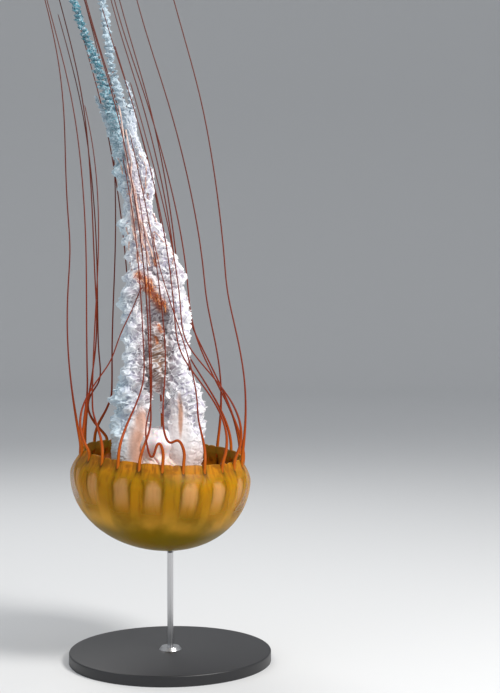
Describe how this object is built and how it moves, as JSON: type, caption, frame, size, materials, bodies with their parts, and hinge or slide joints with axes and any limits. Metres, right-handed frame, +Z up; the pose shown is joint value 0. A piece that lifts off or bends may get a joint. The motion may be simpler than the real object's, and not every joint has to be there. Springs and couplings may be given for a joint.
{
  "type": "sea nettle jellyfish",
  "caption": "Life-size sea nettle jellyfish swimming mouth up, with a scalloped golden bell, frilled oral arms and long trailing tentacles, on a round display stand.",
  "frame": {"origin": "middle of the underside of the stand's base", "axes": "+Z up through the bell to the trailing tentacles, -Y towards the viewer, +X to the viewer's right"},
  "size_m": [0.3376, 0.27, 1.09],
  "materials": {
    "bell": "wet, translucent amber jelly",
    "manubrium": "wet, translucent peach jelly",
    "oral_arm": "wet, frilled white jelly",
    "tentacle": "wet, red-brown jelly",
    "stand_base": "satin black paint",
    "stand_rod": "satin"
  },
  "bodies": {
    "root": {"arm_back_left_lower": "oral_arm", "arm_back_left_upper": "oral_arm", "arm_back_right_lower": "oral_arm", "arm_back_right_upper": "oral_arm", "arm_front_left_lower": "oral_arm", "arm_front_left_upper": "oral_arm", "arm_front_right_lower": "oral_arm", "arm_front_right_upper": "oral_arm", "bell": "bell", "manubrium": "manubrium", "stand_base": "stand_base", "stand_rod": "stand_rod", "tentacle_01_lower": "tentacle", "tentacle_01_upper": "tentacle", "tentacle_02_lower": "tentacle", "tentacle_02_upper": "tentacle", "tentacle_03_lower": "tentacle", "tentacle_03_upper": "tentacle", "tentacle_04_lower": "tentacle", "tentacle_04_upper": "tentacle", "tentacle_05_lower": "tentacle", "tentacle_05_upper": "tentacle", "tentacle_06_lower": "tentacle", "tentacle_06_upper": "tentacle", "tentacle_07_lower": "tentacle", "tentacle_07_upper": "tentacle", "tentacle_08_lower": "tentacle", "tentacle_08_upper": "tentacle", "tentacle_09_lower": "tentacle", "tentacle_09_upper": "tentacle", "tentacle_10_lower": "tentacle", "tentacle_10_upper": "tentacle", "tentacle_11_lower": "tentacle", "tentacle_11_upper": "tentacle", "tentacle_12_lower": "tentacle", "tentacle_12_upper": "tentacle", "tentacle_13_lower": "tentacle", "tentacle_13_upper": "tentacle", "tentacle_14_lower": "tentacle", "tentacle_14_upper": "tentacle", "tentacle_15_lower": "tentacle", "tentacle_15_upper": "tentacle", "tentacle_16_lower": "tentacle", "tentacle_16_upper": "tentacle", "tentacle_17_lower": "tentacle", "tentacle_17_upper": "tentacle", "tentacle_18_lower": "tentacle", "tentacle_18_upper": "tentacle", "tentacle_19_lower": "tentacle", "tentacle_19_upper": "tentacle", "tentacle_20_lower": "tentacle", "tentacle_20_upper": "tentacle", "tentacle_21_lower": "tentacle", "tentacle_21_upper": "tentacle", "tentacle_22_lower": "tentacle", "tentacle_22_upper": "tentacle", "tentacle_23_lower": "tentacle", "tentacle_23_upper": "tentacle", "tentacle_24_lower": "tentacle", "tentacle_24_upper": "tentacle"}
  },
  "joints": []
}
